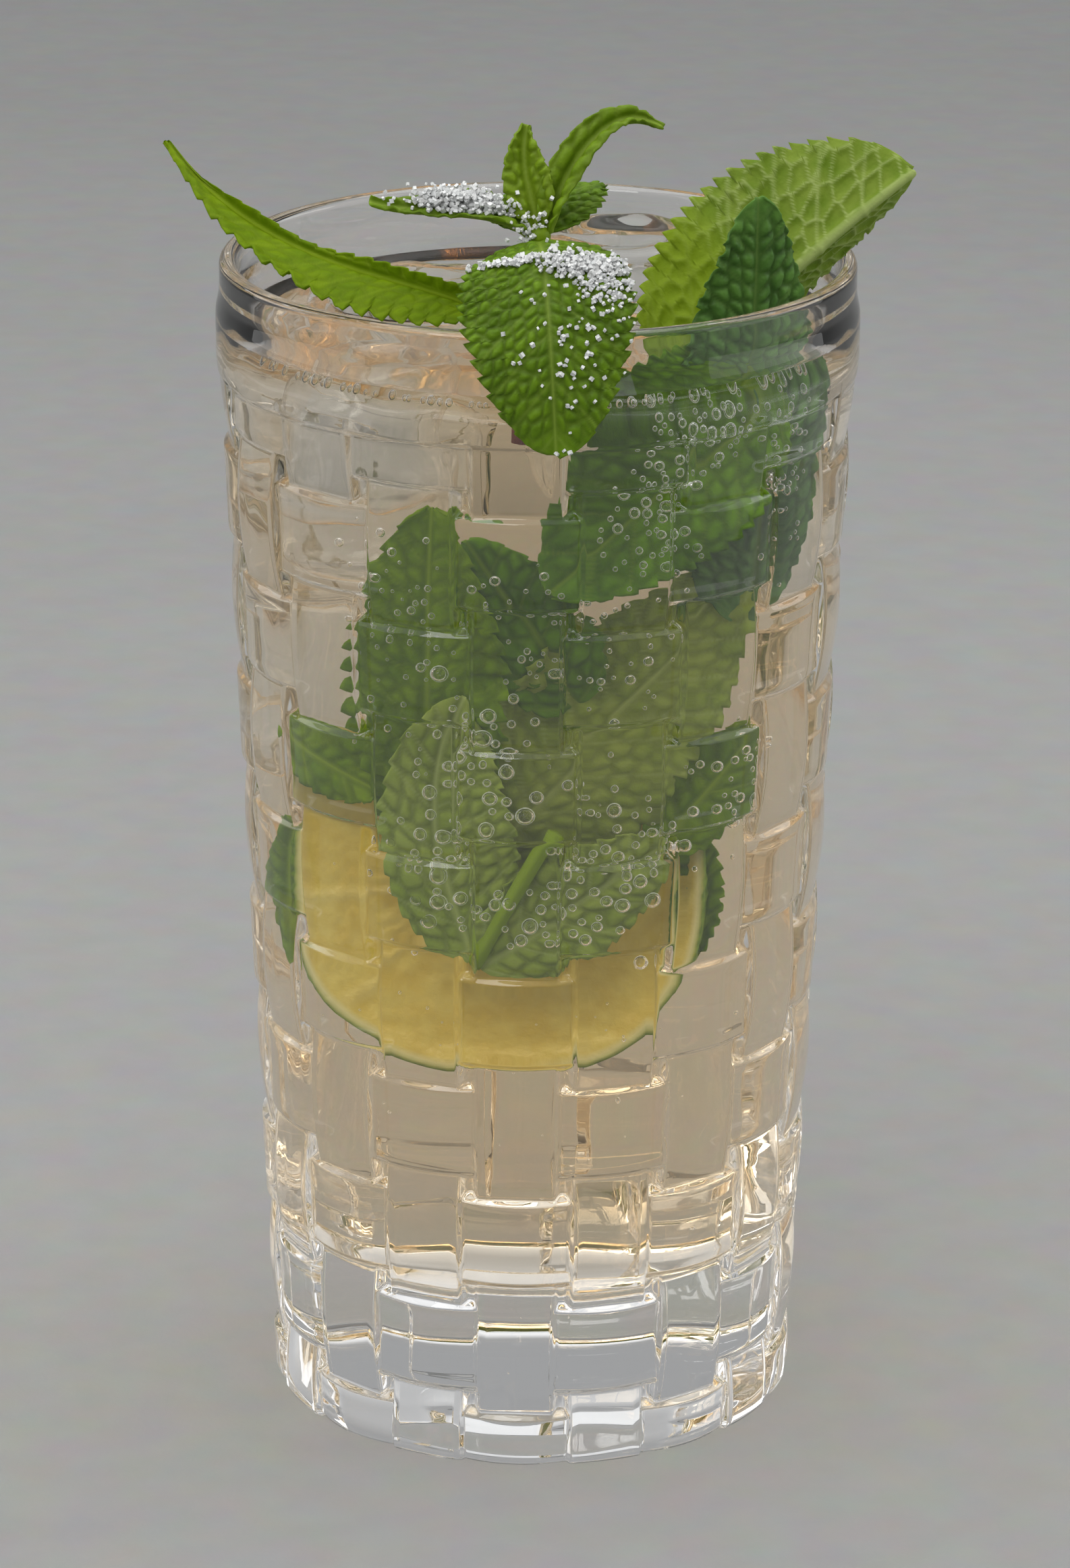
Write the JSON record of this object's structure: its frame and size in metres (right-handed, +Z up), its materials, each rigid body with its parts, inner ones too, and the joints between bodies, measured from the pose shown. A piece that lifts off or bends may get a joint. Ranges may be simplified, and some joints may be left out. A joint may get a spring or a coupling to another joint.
{
  "type": "mojito cocktail",
  "caption": "Tall woven-relief pressed glass of pale mojito with ice, a mint sprig and mint leaves hanging over its lip.",
  "frame": {"origin": "middle of the glass's flat base, on the surface that it stands on", "axes": "+Z up along the glass's axis, -Y to the front of the drink, +X to its right"},
  "size_m": [0.0921, 0.0838, 0.1753],
  "materials": {
    "glass": "clear pressed glass, polished",
    "drink": "pale straw coloured liquid",
    "mint": "wrinkled green leaf, slightly waxy",
    "mint_pale": "pale matt underside of a leaf with raised veins",
    "mint_dark": "dark wrinkled leaf",
    "ice": "wet clear ice",
    "sugar": "white sugar crystals",
    "lime": "wet yellow-green citrus flesh",
    "lime_rind": "thin green citrus rind"
  },
  "bodies": {
    "root": {"glass": "glass", "drink": "drink", "mint_sprig": "mint", "leaf_left": "mint", "leaf_right": "mint_pale", "leaf_dark": "mint_dark", "ice_right": "ice", "ice_left": "ice"}
  },
  "joints": []
}
